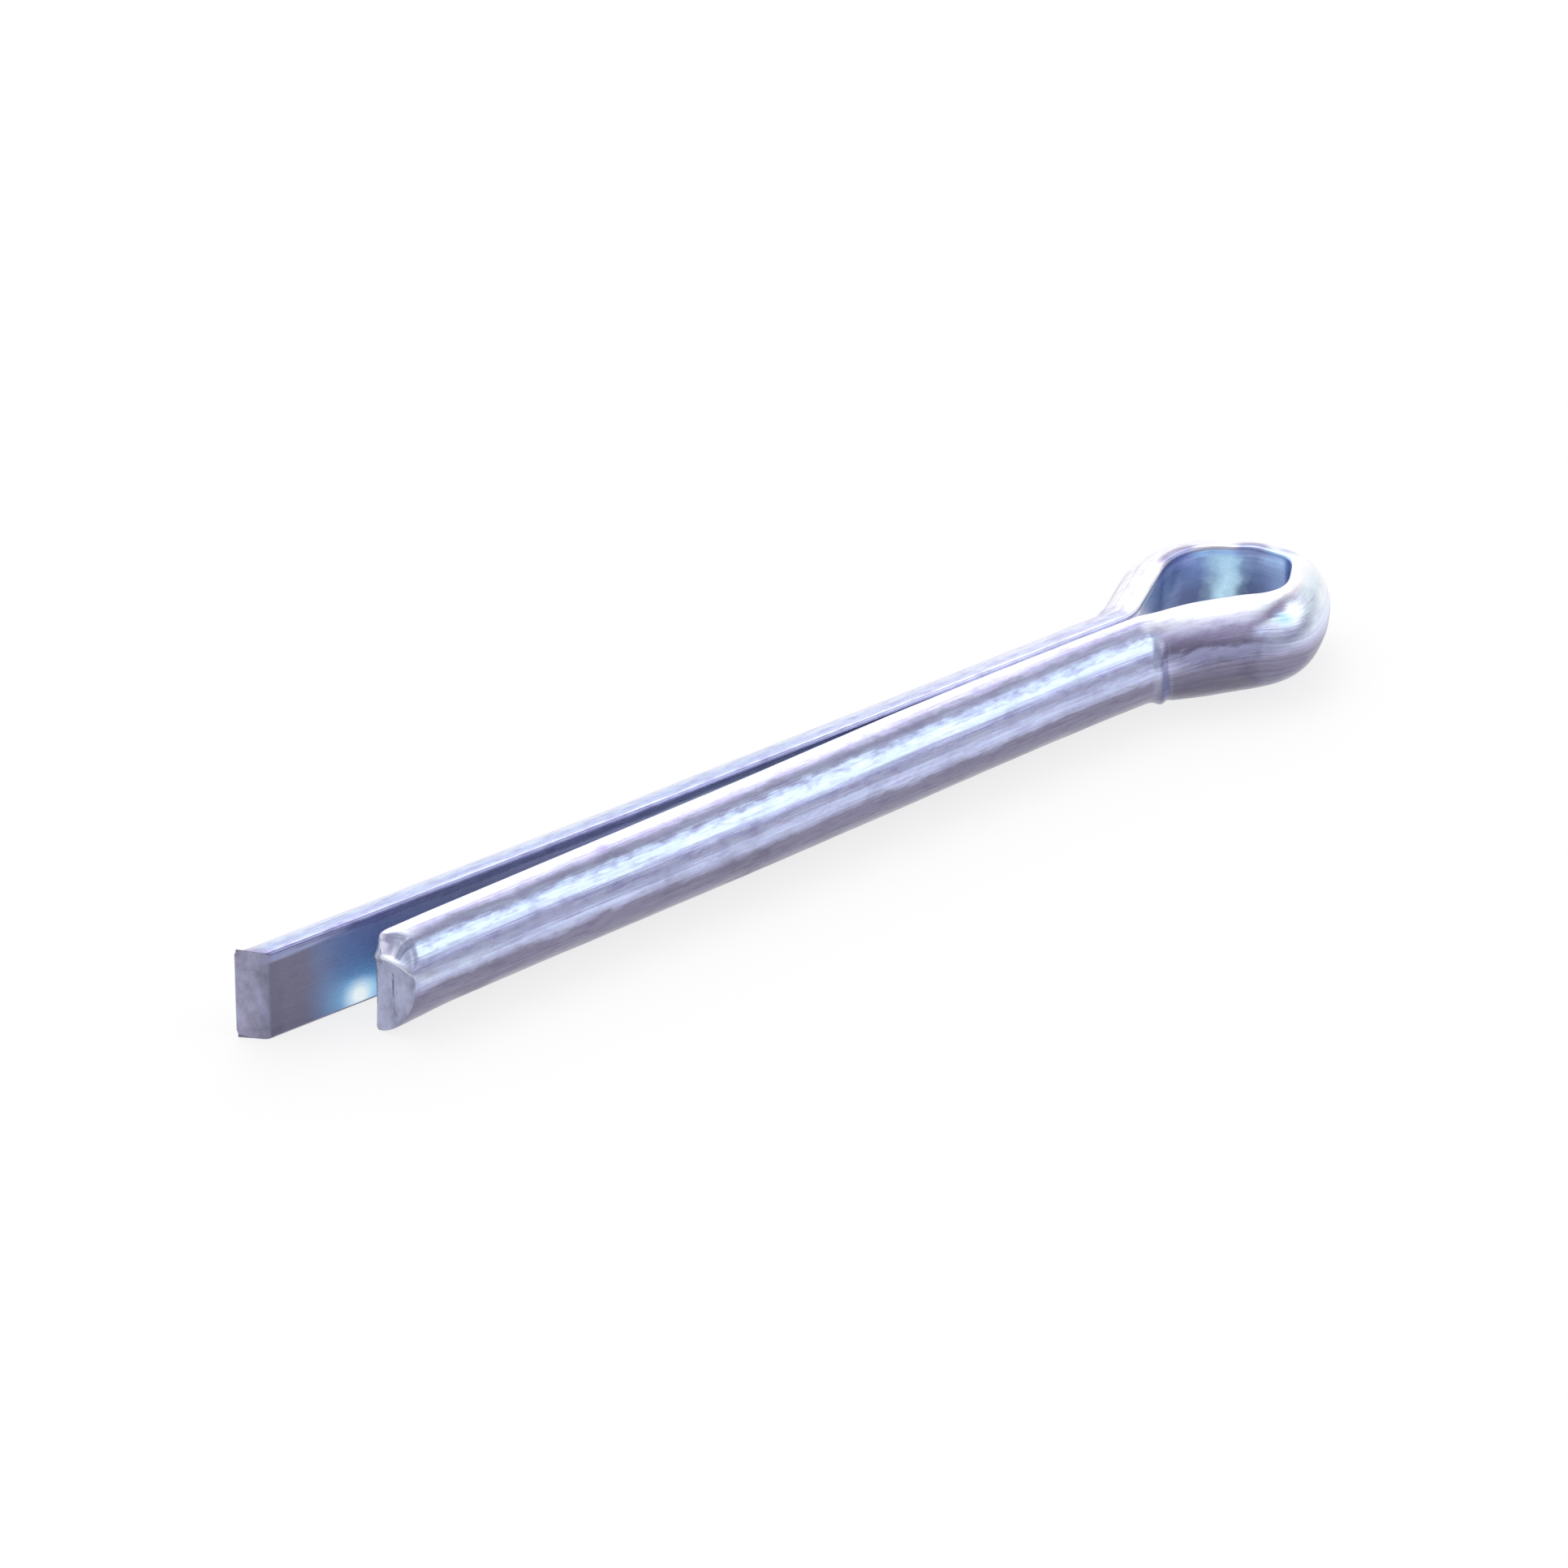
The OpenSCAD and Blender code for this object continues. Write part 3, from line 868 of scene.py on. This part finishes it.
def cut_ends(n, colour):
    """The cut ends, torn and duller, with painted shade that darkens the nipped face away from its
    tip and lies in a rim beside the nipped bevel, and a painted highlight on the sheared end's burr."""
    cut, burr, _ = n.split(n.uv_map("cut"))
    tone = n.ramp(n.torn, CUT_TONES)
    nipped = n.math("GREATER_THAN", n.along, 0.9)
    # painted shade on the nipped face, darker away from its tip
    bevel = n.ramp(n.along, [((TOTAL - 0.7) / TOTAL, (0.64, 0.62, 0.66)),
                             ((TOTAL - 0.45) / TOTAL, (0.88, 0.83, 0.85))])
    tone = n.mix(nipped, tone, n.darken(1.0, tone, bevel))
    colour = n.mix(cut, colour, tone)
    # painted shade in a dark rim beside the nipped bevel
    rim = n.mul(n.near_tip((1.17, 0), (0.96, 1), (0.86, 0)), n.flat_side)
    colour = n.mix(n.mul(rim, 0.4), colour, (0.11, 0.10, 0.17))
    # a painted highlight on the sheared end's burr
    return n.mix(n.mul(burr, 0.8), colour, (0.86, 0.92, 1.0)), cut


def surface(n, colour, cut, painted_glint):
    """The shader: smoother where it is smeared, with drawing lines and torn ends, and duller
    inside the fold, between the legs."""
    shader = n.new("ShaderNodeBsdfPrincipled")
    smeared = n.add(n.mul(n.streak, 0.5), n.mul(n.blotch, 0.5))
    n.set(shader, "Roughness", n.map_range(smeared, 0.35, 0.65, *ROUGHNESS))
    lines = n.mul(n.mul(n.streak, n.mul(n.streaked, n.streaked)), n.sub(1.0, cut))
    height = n.add(n.add(lines, n.blotch), n.mul(n.torn, cut))
    bump = n.new("ShaderNodeBump")
    n.set(bump, "Height", n.mul(height, 0.5))
    n.set(bump, "Strength", BUMP_STRENGTH)
    n.set(bump, "Distance", BUMP_DISTANCE)
    n.set(shader, "Normal", bump.outputs[0])
    in_fold = n.sub(1.0, n.span(33.0, 35.0, 48.0, 50.0))
    dulled = n.mul(n.mul(n.flat_side, in_fold), n.sub(1.0, cut))
    # no dulling under the painted highlight beside the shorter leg's tip
    dulled = n.mul(dulled, n.sub(1.0, n.math("MINIMUM", n.mul(painted_glint, 2.0), 1.0)))
    n.set(shader, "Metallic", n.sub(METALLIC, n.mul(dulled, DULLED)))
    n.set(shader, "Base Color", colour)
    return shader.outputs[0]


def zinc_material():
    """Bright zinc on drawn wire."""
    material = bpy.data.materials.new("zinc_plate")
    material.use_nodes = True
    n = WireNodes(material.node_tree)
    bands, wander = round_side(n)
    colour = n.mix(n.flat_side, bands, flat_colour(n))
    colour = spots(n, eye_edge(n, colour))
    colour = weathered(n, far_edge(n, colour, wander))
    # a painted reflection band on the eye's wall and a painted highlight beside the shorter leg's tip
    colour, painted_glint = wall_glints(n, colour)
    colour, cut = cut_ends(n, colour)
    n.finish("ShaderNodeOutputMaterial", surface(n, colour, cut, painted_glint))
    return material


pin.data.materials.append(zinc_material())
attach(pin, "root")
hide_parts("cotter_pin")


# ---- Floor, world and lights ----
def floor_material():
    """Pale, and white to the camera and in reflections. It keeps some of the pin's shadow."""
    material = bpy.data.materials.new("pale_floor")
    material.use_nodes = True
    n = Nodes(material.node_tree)
    path = n.new("ShaderNodeLightPath").outputs
    seen = n.add(path["Is Glossy Ray"], path["Is Transmission Ray"])
    seen = n.add(n.mul(path["Is Camera Ray"], 0.8), seen)
    diffuse = n.new("ShaderNodeBsdfDiffuse")
    n.set(diffuse, "Color", (0.88, 0.88, 0.88, 1))
    mix = n.new("ShaderNodeMixShader")
    n.set(mix, 0, n.math("MINIMUM", seen, 1.0))
    n.set(mix, 1, diffuse.outputs[0])
    n.set(mix, 2, n.new("ShaderNodeEmission").outputs[0])
    n.finish("ShaderNodeOutputMaterial", mix.outputs[0])
    return material


def studio_world():
    """A pale backdrop behind the pin, and a dimmer room in front of it."""
    world = bpy.data.worlds.new("studio")
    world.use_nodes = True
    n = Nodes(world.node_tree)
    _, depth, _ = n.split(n.new("ShaderNodeTexCoord").outputs["Generated"])
    backdrop = n.new("ShaderNodeBackground")
    shade = n.ramp(n.add(n.mul(depth, 0.5), 0.5), [(0.25, (0.34, 0.34, 0.40)), (0.75, (1.0, 1.0, 1.0))])
    n.set(backdrop, "Color", shade)
    n.set(backdrop, "Strength", 1.15)
    n.finish("ShaderNodeOutputWorld", backdrop.outputs[0])
    return world


def area(name, direction, size_x, size_y, radiance):
    """A soft box that faces the pin, with the given brightness."""
    lamp = bpy.data.lights.new(name, "AREA")
    lamp.shape = "RECTANGLE"
    lamp.size, lamp.size_y = size_x, size_y
    lamp.energy = radiance * math.pi * size_x * size_y
    box = bpy.data.objects.new(name, lamp)
    away = Vector(direction).normalized()
    box.location = away * LAMP_DISTANCE
    box.rotation_euler = (-away).to_track_quat("-Z", "Y").to_euler()
    bpy.context.scene.collection.objects.link(box)


FLOOR_SIZE, LAMP_DISTANCE = 3, 0.6  # metres
bpy.ops.mesh.primitive_plane_add(size=FLOOR_SIZE, location=(0, 0, 0))
floor = bpy.context.object
floor.name = "floor"
floor.data.materials.append(floor_material())
bpy.context.scene.world = studio_world()
area("back_box", (0.35, 0.6, 0.72), 0.34, 0.34, 1.7)
area("top_box", (-0.15, 0.35, 0.92), 0.4, 0.4, 1.7)
area("side_box", (0.60, -0.43, 0.68), 0.5, 0.36, 1.2)

# ---- The camera, at the photograph's viewing angle ----
ELEVATION, AZIMUTH, ROLL = math.radians(35.03), math.radians(52.85), math.radians(1.73)
# the fitted target and distance are in shank diameters, from a point a little past the neck
TARGET, PAST_NECK, DISTANCE = (-4.339, 0.1528, 0.5), 0.083, 61.03
FOCAL_PIXELS, FRAME_PIXELS, SENSOR_MM, CLIP_START = 7700, 1932, 36, 0.01


def camera_matrix():
    fwd = np.array([math.cos(AZIMUTH) * math.cos(ELEVATION), math.sin(AZIMUTH) * math.cos(ELEVATION),
                    -math.sin(ELEVATION)])
    level_right = np.array([math.sin(AZIMUTH), -math.cos(AZIMUTH), 0.0])
    level_up = np.cross(level_right, fwd)
    right = math.cos(ROLL) * level_right + math.sin(ROLL) * level_up
    up = -math.sin(ROLL) * level_right + math.cos(ROLL) * level_up
    neck = [PAST_NECK * SHANK_D - MIDDLE[0], -MIDDLE[1], 0]
    target = np.array(TARGET) * SHANK_D + neck
    position = (target - fwd * DISTANCE * SHANK_D) * MM
    matrix = Matrix.Identity(4)
    for r in range(3):
        matrix[r] = (right[r], up[r], -fwd[r], position[r])
    return matrix


lens = bpy.data.cameras.new("camera")
lens.sensor_width = SENSOR_MM
lens.lens = SENSOR_MM * FOCAL_PIXELS / FRAME_PIXELS
lens.clip_start = CLIP_START
camera = bpy.data.objects.new("camera", lens)
camera.matrix_world = camera_matrix()
bpy.context.scene.collection.objects.link(camera)
bpy.context.scene.camera = camera
bpy.context.scene.view_settings.view_transform = "Standard"
